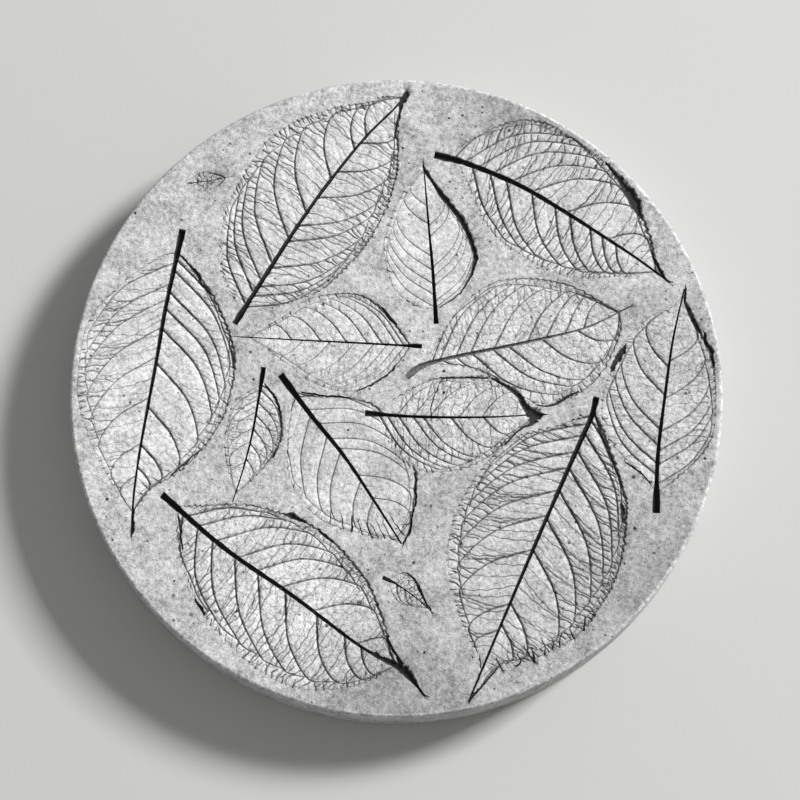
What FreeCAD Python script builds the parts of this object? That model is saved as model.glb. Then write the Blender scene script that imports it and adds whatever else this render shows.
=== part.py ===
import FreeCAD, Part
import enum
import math
import os
import Sketcher

# Round garden stepping stone, cast in concrete as one piece, with real leaves pressed into its tread face.
# Frame: +Z up, origin at the centre of the underside. Sizes are in millimetres, turns in degrees.

Vector = FreeCAD.Vector

# The stone and the sizes that all leaf prints share
STONE_SIZES = {
    "stone_diameter": 400,     # of the tread face, before its edge is rounded
    "stone_thickness": 40,
    "side_draft": 1.5,         # degrees that the side leans out towards the underside, for the mould
    "tread_edge_radius": 2.5,
    "base_edge_chamfer": 2,
    "blade_depth": 0.6,        # how deep a leaf's blade is pressed
    "vein_depth": 1.5,
    "midrib_depth": 3,
    "vein_width": 1.3,         # where a vein leaves the midrib
    "rib_tip_width": 0.6,
    "drip_radius": 45,         # of the margin's hollow curve beside a leaf's drawn-out tip
    "margin_gap": 2.2,         # from the end of a vein to the leaf's margin
    "vein_lean": 1.0,          # how far a vein runs towards the tip for each unit outwards
    "vein_bow": 0.11,          # how far a vein bows towards the leaf's base for each unit of its length
    "stamp_clearance": 1,      # how far the stamps that make the prints stand above the tread
}

# One row for each leaf: where its blade starts on the tread, which way it points, the lengths of its round
# blade and of its drawn-out tip, its half-widths, its stalk, its rib's width at the stalk, how far its midrib
# bows to the left, and how far apart its veins are
LEAF_COLUMNS = ("x", "y", "turn", "body", "drip", "left", "right", "stalk", "rib_width", "bow", "spacing")
LEAVES = {
    "north_west_leaf": (-95, 49, 54.7, 166, 10.5, 53, 34.5, 11, 4.2, 6.6, 17),
    "north_east_leaf": (37, 147, -31.1, 140, 13, 48.5, 34, 14, 4.2, 5.3, 15),
    "north_leaf": (23.5, 52, 94.7, 84, 8, 29, 28, 11, 3, 0.8, 12),
    "west_leaf": (-135.5, 86, -97.7, 155, 23.5, 47.5, 48, 15, 4, -3.5, 18),
    "inner_west_leaf": (8, 27, 177.3, 92, 13, 30, 31.5, 7.5, 2.4, -0.6, 13),
    "inner_east_leaf": (17, 14.5, 16.3, 120, 14, 38, 42, 13, 3.4, -4.5, 15),
    "east_leaf": (159, -63, 80.9, 118, 8.5, 43, 27, 14, 4, 3, 16),
    "centre_leaf": (-12, -16.5, 0.3, 92, 10, 24, 36, 7.5, 2.6, -1.2, 13),
    "small_west_leaf": (-83, 2, -102.9, 66, 8, 20, 16, 11, 3.4, 2.2, 11),
    "inner_south_leaf": (-61, -3, -55.8, 106, 7.5, 38, 36, 15, 4.2, 1.7, 15),
    "south_west_leaf": (-133, -74, -37.2, 166, 21, 41.5, 46, 11.5, 4, -1, 17),
    "south_east_leaf": (118.5, -18, -114, 166, 22, 51, 52, 12, 4.2, 0.6, 17),
    "north_west_bud_leaf": (-130, 130.5, 9.5, 22, 5, 5.5, 6.5, 1.5, 0.9, 0.5, 7),
    "south_bud_leaf": (-2, -119.5, -37.3, 24, 5, 9, 6.5, 7, 1.4, 0.5, 7),
}


class Point(enum.IntEnum):
    """Which point of a sketch edge a constraint takes."""

    START = 1
    END = 2
    CENTRE = 3


class Axis(enum.IntEnum):
    """A sketch's own axis, by the number that constraints know it by."""

    X = -1


class Side(enum.IntEnum):
    """The two sides of a midrib, seen from the stalk to the tip."""

    LEFT = 1
    RIGHT = -1


START, END, CENTRE = Point
LEFT, RIGHT = Side
ORIGIN = (Axis.X, START)

doc = FreeCAD.newDocument("stepping_stone")


def make_sheet():
    """The driving dimensions, one named cell each."""
    sheet = doc.addObject("Spreadsheet::Sheet", "sizes")
    rows = dict(STONE_SIZES)
    for leaf, values in LEAVES.items():
        for column, value in zip(LEAF_COLUMNS, values):
            rows[f"{leaf}_{column}"] = value
    for number, (name, value) in enumerate(rows.items(), start=1):
        sheet.set(f"A{number}", name)
        sheet.set(f"B{number}", str(value))
        sheet.setAlias(f"B{number}", name)
    doc.recompute()
    return sheet


sheet = make_sheet()


def size(name):
    return float(sheet.get(name))


class Leaf:
    """The sizes of one leaf print, in its own frame: x runs from the blade's base to its tip."""

    def __init__(self, name):
        self.name = name
        for column in LEAF_COLUMNS:
            setattr(self, column, size(f"{name}_{column}"))
        self.length = self.body + self.drip

    def half_width(self, side):
        return self.left if side == LEFT else self.right

    def margin_radius(self, side):
        half, width = self.body / 2, self.half_width(side)
        return (half ** 2 + width ** 2) / (2 * width)

    def margin(self, x, side):
        """Half-width of the round blade at x on one side."""
        radius = self.margin_radius(side)
        rise = math.sqrt(max(radius ** 2 - (x - self.body / 2) ** 2, 0))
        return max(rise + self.half_width(side) - radius, 0)

    def rib_offset(self, x):
        """How far left the bowed midrib runs of the straight line from stalk end to tip."""
        share = (x + self.stalk) / (self.length + self.stalk)
        return 4 * self.bow * share * (1 - share)


def leaf_sketch(leaf, kind):
    """A sketch on the tread face, placed and turned as the leaf lies."""
    sketch = doc.addObject("Sketcher::SketchObject", f"{leaf.name}_{kind}")
    sketch.setExpression(".Placement.Base.x", f"sizes.{leaf.name}_x")
    sketch.setExpression(".Placement.Base.y", f"sizes.{leaf.name}_y")
    sketch.setExpression(".Placement.Base.z", "sizes.stone_thickness")
    sketch.setExpression(".Placement.Rotation.Angle", f"sizes.{leaf.name}_turn * 1 deg")
    return sketch


def bind(sketch, expression, kind, *places_and_value):
    """A dimension of a sketch that follows the sheet."""
    index = sketch.addConstraint(Sketcher.Constraint(kind, *places_and_value))
    sketch.setExpression(f"Constraints[{index}]", expression)


def join(sketch, kind, *places):
    """A relation between edges of a sketch, such as two ends that meet."""
    sketch.addConstraint(Sketcher.Constraint(kind, *places))


def arc_between(centre, radius, first, last):
    """Arc that runs anticlockwise from one point to another about a centre."""
    start = math.atan2(first.y - centre.y, first.x - centre.x)
    end = math.atan2(last.y - centre.y, last.x - centre.x)
    if end < start:
        end += 2 * math.pi
    return Part.ArcOfCircle(Part.Circle(centre, Vector(0, 0, 1), radius), start, end)


def blade_side(sketch, leaf, side):
    """One margin: a round arc from the base, a hollow one to the tip. Returns the latter and its tip end."""
    half = leaf.body / 2
    radius = leaf.margin_radius(side)
    drip_radius = size("drip_radius")
    base, tip = Vector(0, 0, 0), Vector(leaf.length, 0, 0)
    centre = Vector(half, side * (leaf.half_width(side) - radius), 0)
    to_tip = tip - centre
    reach = radius + drip_radius
    cosine = (reach ** 2 + to_tip.Length ** 2 - drip_radius ** 2) / (2 * reach * to_tip.Length)
    along = to_tip / to_tip.Length
    outward = Vector(-along.y, along.x, 0) * side
    towards = along * cosine + outward * math.sqrt(1 - cosine ** 2)
    drip_centre = centre + towards * reach
    shoulder = centre + towards * radius
    if side == LEFT:
        round_arc = sketch.addGeometry(arc_between(centre, radius, shoulder, base))
        tip_arc = sketch.addGeometry(arc_between(drip_centre, drip_radius, shoulder, tip))
        at_base, at_shoulder, from_shoulder, at_tip = END, START, START, END
    else:
        round_arc = sketch.addGeometry(arc_between(centre, radius, base, shoulder))
        tip_arc = sketch.addGeometry(arc_between(drip_centre, drip_radius, tip, shoulder))
        at_base, at_shoulder, from_shoulder, at_tip = START, END, END, START
    name = f"sizes.{leaf.name}"
    width = f"{name}_left" if side == LEFT else f"{name}_right"
    join(sketch, "Coincident", round_arc, at_base, *ORIGIN)
    join(sketch, "Tangent", round_arc, at_shoulder, tip_arc, from_shoulder)
    bind(sketch, f"{name}_body / 2", "DistanceX", *ORIGIN, round_arc, CENTRE, half)
    bind(sketch, f"(({name}_body / 2) ^ 2 + {width} ^ 2) / (2 * {width})", "Radius", round_arc, radius)
    bind(sketch, "sizes.drip_radius", "Radius", tip_arc, drip_radius)
    return tip_arc, at_tip


def blade_outline(leaf):
    """The blade: two margins that leave the base and meet at the tip."""
    sketch = leaf_sketch(leaf, "blade")
    left_arc, left_tip = blade_side(sketch, leaf, LEFT)
    right_arc, right_tip = blade_side(sketch, leaf, RIGHT)
    name = f"sizes.{leaf.name}"
    join(sketch, "Coincident", left_arc, left_tip, right_arc, right_tip)
    join(sketch, "PointOnObject", left_arc, left_tip, Axis.X)
    bind(sketch, f"{name}_body + {name}_drip", "DistanceX", *ORIGIN, left_arc, left_tip, leaf.length)
    return sketch


def midrib_edge(sketch, leaf, side):
    """One edge of stalk and midrib. Returns the arc, its ends at cut stalk and tip, and those two points."""
    wide, narrow = leaf.rib_width / 2, size("rib_tip_width") / 2
    cut, tip = Vector(-leaf.stalk, side * wide, 0), Vector(leaf.length, side * narrow, 0)
    whole = Part.ArcOfCircle(cut, (cut + tip) / 2 + Vector(0, leaf.bow, 0), tip)
    if leaf.bow > 0:
        edge = sketch.addGeometry(arc_between(whole.Center, whole.Radius, tip, cut))
        at_cut, at_tip = END, START
    else:
        edge = sketch.addGeometry(arc_between(whole.Center, whole.Radius, cut, tip))
        at_cut, at_tip = START, END
    name, sign = f"sizes.{leaf.name}", "" if side == LEFT else "-"
    run = f"({name}_body + {name}_drip + {name}_stalk)"
    taper = f"(({name}_rib_width - sizes.rib_tip_width) / 2)"
    bind(sketch, f"-{name}_stalk", "DistanceX", *ORIGIN, edge, at_cut, cut.x)
    bind(sketch, f"{sign}{name}_rib_width / 2", "DistanceY", *ORIGIN, edge, at_cut, cut.y)
    bind(sketch, f"{name}_body + {name}_drip", "DistanceX", *ORIGIN, edge, at_tip, tip.x)
    bind(sketch, f"{sign}sizes.rib_tip_width / 2", "DistanceY", *ORIGIN, edge, at_tip, tip.y)
    bind(sketch, f"({run} ^ 2 + {taper} ^ 2 + 4 * {name}_bow ^ 2) / (8 * abs({name}_bow))",
         "Radius", edge, whole.Radius)
    return edge, at_cut, at_tip, cut, tip


def midrib_outline(leaf):
    """Stalk and midrib: a long taper from the stalk's cut end to the leaf's tip, bowed as the leaf lay."""
    sketch = leaf_sketch(leaf, "midrib")
    left, left_cut, left_tip, left_cut_point, left_tip_point = midrib_edge(sketch, leaf, LEFT)
    right, right_cut, right_tip, right_cut_point, right_tip_point = midrib_edge(sketch, leaf, RIGHT)
    cut_line = sketch.addGeometry(Part.LineSegment(left_cut_point, right_cut_point))
    tip_line = sketch.addGeometry(Part.LineSegment(left_tip_point, right_tip_point))
    join(sketch, "Coincident", cut_line, START, left, left_cut)
    join(sketch, "Coincident", cut_line, END, right, right_cut)
    join(sketch, "Coincident", tip_line, START, left, left_tip)
    join(sketch, "Coincident", tip_line, END, right, right_tip)
    return sketch


def vein_end(leaf, root, side):
    """Where a side vein that leaves the midrib at root runs out, just inside the margin."""
    low, high = root, leaf.body
    for _ in range(40):
        middle = (low + high) / 2
        if middle - root < size("vein_lean") * leaf.margin(middle, side):
            low = middle
        else:
            high = middle
    return Vector(low, side * (leaf.margin(low, side) - size("margin_gap")), 0)


def vein_edge(leaf, root, end, side):
    """Corners of one edge of a vein, from the midrib to its second bend; it bows towards the base."""
    start = Vector(root, leaf.rib_offset(root) + side * leaf.rib_width / 8, 0)
    chord = end - start
    bow = Vector(-chord.y, chord.x, 0) * side * size("vein_bow")
    return [start + chord * share + bow * 4 * share * (1 - share) for share in (0, 1 / 3, 2 / 3)]


def add_vein(sketch, leaf, root, side):
    """A side vein: two edges that leave the midrib a vein's width apart and meet near the margin."""
    end = vein_end(leaf, root, side)
    first_edge = vein_edge(leaf, root, end, side)
    second_edge = vein_edge(leaf, root + size("vein_width"), end, side)
    corners = first_edge + [end] + second_edge[::-1]
    for first, last in zip(corners, corners[1:] + corners[:1]):
        sketch.addGeometry(Part.LineSegment(first, last))


def vein_outlines(leaf):
    """All side veins of a leaf, evenly spaced along both sides of the midrib and staggered left to right."""
    sketch = leaf_sketch(leaf, "veins")
    for side, first in ((LEFT, 0.35), (RIGHT, 0.6)):
        root = leaf.spacing * first
        while root < leaf.body - leaf.spacing * 1.5:
            add_vein(sketch, leaf, root, side)
            root += leaf.spacing
    return sketch


def stamp(sketch, depth_name):
    """The solid that presses an outline into the tread face."""
    solid = doc.addObject("Part::Extrusion", f"{sketch.Name}_stamp")
    solid.Base = sketch
    solid.DirMode = "Normal"
    solid.Solid = True
    solid.setExpression("LengthFwd", "sizes.stamp_clearance")
    solid.setExpression("LengthRev", f"sizes.{depth_name}")
    return solid


def plane_of(body, role):
    return next(item for item in body.Origin.OriginFeatures if item.Role == role)


def disc_section(body):
    """Half of the stone's section through its axis: tread radius, thickness and the draft of the side."""
    sketch = body.newObject("Sketcher::SketchObject", "disc_section")
    sketch.AttachmentSupport = [(plane_of(body, "XZ_Plane"), "")]
    sketch.MapMode = "FlatFace"
    radius, height = size("stone_diameter") / 2, size("stone_thickness")
    flare = height * math.tan(math.radians(size("side_draft")))
    corners = [Vector(0, 0, 0), Vector(radius + flare, 0, 0), Vector(radius, height, 0), Vector(0, height, 0)]
    lines = [Part.LineSegment(first, last) for first, last in zip(corners, corners[1:] + corners[:1])]
    base, side, tread, axis = (sketch.addGeometry(line) for line in lines)
    for first, second in ((base, side), (side, tread), (tread, axis), (axis, base)):
        join(sketch, "Coincident", first, END, second, START)
    join(sketch, "Coincident", base, START, *ORIGIN)
    join(sketch, "Horizontal", base)
    join(sketch, "Horizontal", tread)
    join(sketch, "Vertical", axis)
    bind(sketch, "sizes.stone_diameter / 2", "DistanceX", *ORIGIN, tread, START, radius)
    bind(sketch, "sizes.stone_thickness", "DistanceY", *ORIGIN, tread, START, height)
    bind(sketch, "sizes.stone_diameter / 2 + sizes.stone_thickness * tan(sizes.side_draft * 1 deg)",
         "DistanceX", *ORIGIN, base, END, radius + flare)
    return sketch


def rim(solid, pick):
    """Name of the stone's circular edge that pick, max or min, finds by height."""
    doc.recompute()
    heights = {
        f"Edge{number}": edge.Curve.Center.z
        for number, edge in enumerate(solid.Shape.Edges, start=1)
        if isinstance(edge.Curve, Part.Circle)
    }
    return pick(heights, key=heights.get)


def make_blank():
    """The plain cast disc, before the leaves are pressed in."""
    body = doc.addObject("PartDesign::Body", "blank")
    section = disc_section(body)
    disc = body.newObject("PartDesign::Revolution", "disc")
    disc.Profile = section
    disc.ReferenceAxis = (section, ["V_Axis"])
    disc.Angle = 360
    tread_edge = body.newObject("PartDesign::Fillet", "tread_edge")
    tread_edge.Base = (disc, [rim(disc, max)])
    tread_edge.setExpression("Radius", "sizes.tread_edge_radius")
    base_edge = body.newObject("PartDesign::Chamfer", "base_edge")
    base_edge.Base = (tread_edge, [rim(tread_edge, min)])
    base_edge.setExpression("Size", "sizes.base_edge_chamfer")
    return body


def make_leaf_prints():
    """All that the leaves press out of the tread: each blade, its deeper veins and its deepest midrib."""
    stamps = []
    for name in LEAVES:
        leaf = Leaf(name)
        stamps.append(stamp(blade_outline(leaf), "blade_depth"))
        stamps.append(stamp(vein_outlines(leaf), "vein_depth"))
        stamps.append(stamp(midrib_outline(leaf), "midrib_depth"))
    prints = doc.addObject("Part::MultiFuse", "leaf_prints")
    prints.Shapes = stamps
    prints.Refine = False
    return prints


def make_stone():
    stone = doc.addObject("Part::Cut", "stepping_stone")
    stone.Label = "stepping_stone"
    stone.Base = make_blank()
    stone.Tool = make_leaf_prints()
    stone.Refine = False
    doc.recompute()
    return stone


def check(parts):
    """Stop if any object failed to build, a piece isn't one sound solid, or the prints took nothing away."""
    for item in doc.Objects:
        if {"Invalid", "Error"} & set(item.State):
            raise RuntimeError(f"{item.Name} failed: {item.State}")
    for part in parts:
        if part.Shape.isNull() or not part.Shape.isValid() or len(part.Shape.Solids) != 1:
            raise RuntimeError(f"{part.Label} isn't one sound solid")
        if part.Shape.Volume >= part.Base.Shape.Volume:
            raise RuntimeError(f"{part.Label} has no leaf prints")


parts = [make_stone()]
check(parts)
os.makedirs("parts", exist_ok=True)
for part in parts:
    part.Shape.exportStep(os.path.join("parts", f"{part.Label}.step"))
    box = part.Shape.optimalBoundingBox(True, False)
    print(part.Label, "volume mm3", round(part.Shape.Volume), "faces", len(part.Shape.Faces),
          "size", round(box.XLength, 2), round(box.YLength, 2), round(box.ZLength, 2))
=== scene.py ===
# %% [markdown]
# # A garden stepping stone with leaf prints
# The stone is one round casting of grey concrete. Fresh leaves were laid in the mould, so the tread carries their
# prints: sunk blades, a deep slot for each stalk and midrib, and finer grooves for the side veins.
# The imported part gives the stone's size and place. This lesson dresses it with the fine relief and the finish.

# %% Load the stone's frame
import math

import bmesh
import bpy
import numpy as np
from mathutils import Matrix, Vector, noise
from mathutils.geometry import delaunay_2d_cdt


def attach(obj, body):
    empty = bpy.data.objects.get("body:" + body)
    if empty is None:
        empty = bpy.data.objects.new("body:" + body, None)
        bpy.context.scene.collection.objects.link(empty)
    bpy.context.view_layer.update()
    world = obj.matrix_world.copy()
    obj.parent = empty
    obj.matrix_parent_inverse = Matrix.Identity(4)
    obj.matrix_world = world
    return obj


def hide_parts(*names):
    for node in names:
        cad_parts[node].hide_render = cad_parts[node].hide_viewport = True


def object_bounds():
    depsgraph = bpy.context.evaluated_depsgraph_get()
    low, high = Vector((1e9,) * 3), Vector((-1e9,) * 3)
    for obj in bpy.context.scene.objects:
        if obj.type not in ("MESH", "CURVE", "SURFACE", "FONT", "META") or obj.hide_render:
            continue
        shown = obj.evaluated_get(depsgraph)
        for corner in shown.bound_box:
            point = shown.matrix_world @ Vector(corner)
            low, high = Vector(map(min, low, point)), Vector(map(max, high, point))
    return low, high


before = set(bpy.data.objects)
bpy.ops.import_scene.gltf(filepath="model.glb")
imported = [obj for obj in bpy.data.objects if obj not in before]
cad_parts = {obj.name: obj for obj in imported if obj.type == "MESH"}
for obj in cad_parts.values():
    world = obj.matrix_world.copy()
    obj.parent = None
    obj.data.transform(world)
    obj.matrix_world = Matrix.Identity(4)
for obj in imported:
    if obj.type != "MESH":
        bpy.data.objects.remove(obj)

MM = 0.001  # the drawing is in millimetres, Blender in metres
cad_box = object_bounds()
scene = bpy.context.scene
thickness = cad_box[1].z / MM
print(f"stone {2 * cad_box[1].x / MM:.1f} mm across and {thickness:.1f} mm thick")

# %% [markdown]
# ## Lines to draw with
# Every print is drawn first as lines in plan: margins, midribs and veins. A smooth line through a few points that
# were read off is enough for each. Two helpers do the drawing: one runs a Catmull-Rom curve through the points and
# spaces new points evenly along it, the other gives the direction square to a line, to its left. A third blends two
# values, as widths and depths often run from one to another.

# %% Smooth lines
CURVE_STEPS = 16  # points worked out between two given ones


def spaced(line, step):
    """The line with its points spaced evenly, about a step apart; further columns are carried along."""
    run = np.concatenate([[0.0], np.cumsum(np.hypot(*np.diff(line[:, :2], axis=0).T))])
    places = np.linspace(0, run[-1], max(2, round(run[-1] / step) + 1))
    return np.column_stack([np.interp(places, run, column) for column in line.T])


def smooth_line(points, step):
    """An evenly spaced line that runs smoothly through the points."""
    points = np.asarray(points, float)
    ends = np.vstack([2 * points[0] - points[1], points, 2 * points[-1] - points[-2]])
    v = np.linspace(0, 1, CURVE_STEPS, endpoint=False)[:, None]
    pieces = [b + 0.5 * v * (c - a + v * (2 * a - 5 * b + 4 * c - d + v * (3 * b - a - 3 * c + d)))
              for a, b, c, d in zip(ends, ends[1:], ends[2:], ends[3:])]
    return spaced(np.vstack(pieces + [points[-1:]]), step)


def leftward(line):
    """Unit vectors square to the line, to its left."""
    run = np.gradient(line[:, :2], axis=0)
    run /= np.maximum(np.hypot(*run.T), 1e-9)[:, None]
    return np.column_stack([-run[:, 1], run[:, 0]])


def blend(ends, share):
    """The value that lies this share of the way from the first end to the second."""
    return ends[0] + share * (ends[1] - ends[0])

# %% [markdown]
# ## The leaves
# Twelve leaves and two small buds lie on the tread. Each row holds what is read off one print, in millimetres
# from the middle of the stone, in the order of laying: a later leaf lies over an earlier one.
#
# - midrib: from the cut end of the stalk to the tip; left, right: margins from base to tip
# - stalk, bare_tip: lengths without a blade; rib: the midrib's width at the stalk, the blade's base and the tip
# - veins: where side veins start along the midrib, left and right; bold: their strength on each side
# - net: strength of the cross veins on each side, and their angle to the midrib in degrees
# - cells, mesh: strength of the finest nets; dirt_and_shade: strength of the midrib's dirt and painted shade; edge:
#   least depth of the crack round the blade

# %% Leaf table
LEAVES = {
    "north_west_leaf": dict(
        midrib=((-99.5, 41), (-90, 57), (-70, 90), (-58, 109), (-43, 131), (-20, 161), (0, 182), (7, 192)),
        left=((-106, 68), (-109, 85), (-109, 100), (-103, 122), (-92, 143), (-81, 159), (-63, 172), (-38, 181),
              (-18, 184.5), (-8, 188)),
        right=((-80, 50), (-64, 55), (-47, 62), (-33, 75), (-20, 90), (-10, 107), (-4, 122), (0, 138), (1, 152),
               (1, 170)),
        stalk=8, bare_tip=5, rib=(4.2, 3.4, 1.4), net=(1, 1, 90),
        veins=((13, 22, 31, 44, 63, 83, 110, 134, 146), (12, 20, 27, 41, 61, 73, 95, 116, 140))),
    "north_east_leaf": dict(
        midrib=((24, 150), (45, 144), (75, 131), (100, 116), (130, 96), (150, 82), (168.5, 67.5)),
        left=((38, 154), (50, 162), (64, 168.5), (80, 173), (97, 170), (115, 161), (130, 147), (147, 128), (155, 104),
              (159, 90)),
        right=((43, 134), (53, 110), (63, 95), (75, 86), (88, 78), (105, 71), (120, 70), (140, 71)),
        stalk=14, bare_tip=10, rib=(5.2, 3.9, 1.5), net=(1, 1, 94),
        veins=((12, 19, 28, 38, 51, 65, 90, 121), (24, 36, 47, 65, 82, 93, 108, 117, 127))),
    "north_leaf": dict(
        midrib=((24.5, 41), (22.5, 75), (20, 105), (17, 144)),
        left=((12, 52), (0, 61), (-5, 72), (-8, 88), (-7, 97), (-2, 113), (4, 125), (9, 131)),
        right=((39, 60), (43, 66), (48, 78), (49, 84), (45, 97), (38, 111), (28, 124), (19, 139)),
        stalk=9, bare_tip=4, rib=(3.2, 2.4, 0.7), net=(0.1, 0.1, 90), bold=(0.4, 0.4),
        veins=((10, 18, 25, 34, 43, 64, 76), (10, 14, 24, 30, 36, 56, 63))),
    "west_leaf": dict(
        midrib=((-133, 101), (-138, 75), (-143, 48), (-147, 20), (-152, -12), (-156, -38), (-159, -65), (-160, -91)),
        left=((-127, 77), (-115, 61), (-106, 43), (-100, 25), (-99, 15), (-101, 0), (-107, -20), (-120, -40),
              (-135, -54), (-148, -62), (-156, -71)),
        right=((-148, 83), (-170, 66), (-185, 50), (-193, 33), (-196, 8), (-194, -10), (-188, -30), (-178, -50),
               (-169, -65)),
        stalk=15, bare_tip=14, rib=(4.6, 3.3, 1.2), net=(0.35, 0.6, 76), cells=0.25, bold=(1, 0.6),
        veins=((19, 26, 40, 51, 64, 86, 114, 138, 152), (21, 35, 45, 63, 82, 108, 137, 157))),
    "inner_west_leaf": dict(
        midrib=((15.5, 26.5), (-20, 28.5), (-60, 30.5), (-98, 32.5)),
        left=((4, 20), (-5, 9), (-15, 2), (-28, -2), (-42, 0), (-55, 6), (-65, 14), (-76, 22)),
        right=((3, 35), (-8, 49), (-20, 58), (-35, 60), (-55, 56), (-67, 47), (-80, 39)),
        stalk=7, bare_tip=8, rib=(2.8, 1.5, 0.6), net=(0.3, 0.3, 85), cells=0.6, bold=(0.4, 0.5), edge=0.3,
        veins=((10, 15, 21, 29, 41, 56, 73), (11, 15, 24, 33, 46, 62, 80))),
    "inner_east_leaf": dict(
        midrib=((6.5, 7), (12, 12), (18, 15), (28, 18), (48, 22.5), (70, 27), (90, 31.5), (117, 38.5), (145, 52)),
        left=((25, 28), (31, 39), (38, 50), (45, 57), (58, 66), (75, 69.5), (95, 68), (110, 64), (124, 56),
              (130, 52)),
        right=((40, 14), (52, 10), (63, 4), (80, -7), (90, -10), (97, -9.5), (115, -1), (125, 9), (131, 19),
               (138, 37)),
        stalk=16, bare_tip=9, rib=(4.2, 2.8, 0.9), net=(0.45, 0.4, 85), cells=1, bold=(0.7, 0.8), dirt_and_shade=0.7,
        edge=0.3, veins=((18, 23, 33, 42, 57, 78, 90, 102, 114), (25, 33, 43, 56, 66, 87, 110))),
    "east_leaf": dict(
        midrib=((157, -77), (159, -42), (164, -6.5), (170, 30), (178, 63)),
        left=((152, -58), (140, -45), (127, -27), (126, -5), (132, 13), (139, 28), (148, 38), (157, 46), (168, 50)),
        right=((165, -60), (180, -47), (190, -35), (195, -20), (196, 0), (194, 16), (190, 28), (186, 38), (180, 52)),
        stalk=13, bare_tip=5, rib=(4.8, 2.9, 0.9), net=(0.4, 0.4, 85), cells=0.8, bold=(0.8, 0.75),
        veins=((23, 30, 41, 51, 73, 91), (17, 29, 38, 50, 71, 95))),
    "small_west_leaf": dict(
        midrib=((-81.5, 13), (-84.5, -8), (-88, -29), (-93, -50), (-99, -70)),
        left=((-76, -3), (-71, -15), (-70, -28), (-74, -40), (-84, -53), (-92, -61)),
        right=((-90, -2), (-100, -9), (-103, -22), (-105, -34), (-103, -47), (-101, -55)),
        stalk=11, bare_tip=5, rib=(3.4, 1.8, 0.8), net=(0.6, 0.6, 80), cells=0.9, bold=(0.5, 0.45),
        veins=((14, 22, 30, 39, 48, 58), (14, 20, 28, 38, 47, 60))),
    "inner_south_leaf": dict(
        midrib=((-71, 8.5), (-52, -17), (-32, -42), (-14, -69), (3, -96)),
        left=((-50, -5), (-30, -6), (-12, -12), (2, -30), (11, -50), (12, -58), (11, -66), (8, -82)),
        right=((-66, -28), (-66, -50), (-60, -66), (-45, -82), (-24, -89), (-10, -93)),
        stalk=14, bare_tip=5, rib=(4.7, 3.5, 1.1), net=(0.15, 0.15, 90), cells=0.4, bold=(0.5, 0.6),
        veins=((17, 27, 38, 50, 58, 78, 95), (16, 31, 47, 60, 82, 96))),
    "south_west_leaf": dict(
        midrib=((-142, -66), (-104, -98.5), (-63, -127), (-22, -157.5), (-2, -168), (6, -173.5), (16, -186.5)),
        left=((-120, -73), (-92, -72), (-68, -78), (-53, -84), (-38, -95), (-27, -107), (-17, -120), (-11, -134),
              (-6, -148), (-4, -160)),
        right=((-133, -85), (-130, -105), (-123, -124), (-115, -141), (-105, -151), (-88, -168), (-65, -181),
               (-43, -184), (-20, -180)),
        stalk=11, bare_tip=24, rib=(4.6, 3.6, 1.6), net=(0.55, 0.8, 92), cells=0.8,
        veins=((20, 29, 43, 60, 74, 92, 116, 149), (17, 29, 41, 58, 75, 95, 119, 140, 152))),
    "south_east_leaf": dict(
        midrib=((122.3, -5.7), (119, -17.7), (112.3, -32.5), (101.7, -56), (82.3, -99.5), (62.5, -145), (43, -190.5)),
        left=((124, -22), (132, -45), (138, -65), (139, -80), (135, -107), (124, -131), (106, -153), (80, -166),
              (66, -168), (60, -171), (50, -182)),
        right=((108, -20), (90, -26), (72, -31), (55, -46), (40, -68), (31, -95), (32, -118), (36, -135), (44, -155),
               (49, -163), (49, -174), (44, -186)),
        stalk=11, bare_tip=3, rib=(3.9, 3.3, 1.2), net=(1, 1, 82), cells=0.35,
        veins=((14, 23, 35, 47, 62, 81, 102, 137, 151), (12, 17, 25, 36, 47, 62, 79, 102, 138, 155))),
    "centre_leaf": dict(
        midrib=((-19, -15.5), (8, -17.5), (35.5, -18.1), (62, -17.7), (90, -16)),
        left=((-5, -9), (10, 0), (20, 5), (28, 6.5), (57, 7), (65, 3), (72, 0), (76, -5)),
        right=((-8, -25), (-2, -38), (6, -47), (18, -52), (33, -51.5), (46, -48), (58, -41), (66, -33), (77, -24)),
        stalk=7, bare_tip=6, rib=(4, 2.3, 0.6), net=(0.7, 0.7, 85), cells=1, bold=(0.5, 0.65), edge=0.3,
        veins=((19, 29, 39, 57, 71), (8, 13, 20, 29, 35, 52, 72))),
    "north_west_bud": dict(
        midrib=((-130.5, 131), (-117, 133), (-103.5, 135.5)),
        left=((-127, 135), (-121, 138.7), (-114, 137.5), (-109, 136)),
        right=((-126, 127), (-119, 126), (-112, 129), (-108, 133)),
        stalk=1.5, bare_tip=4, rib=(0.6, 0.6, 0.4), net=(0.1, 0.1, 90), mesh=8, bold=(0.15, 0.15),
        dirt_and_shade=0.35, edge=0.2, veins=((7, 13), (6, 12))),
    "south_bud": dict(
        midrib=((-8, -116.5), (0, -120.5), (10.5, -127.7), (21, -137)),
        left=((0, -115), (6, -113.8), (11, -118), (15, -126)),
        right=((-4, -122), (-2, -127), (2, -132), (9, -134)),
        stalk=3.5, bare_tip=3, rib=(2.6, 1, 0.5), net=(0.4, 0.1, 90), mesh=10, bold=(0.15, 0.55),
        dirt_and_shade=0.8, edge=0.3, veins=((10, 16), (9, 15))),
}
print(len(LEAVES), "leaves and buds")
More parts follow.
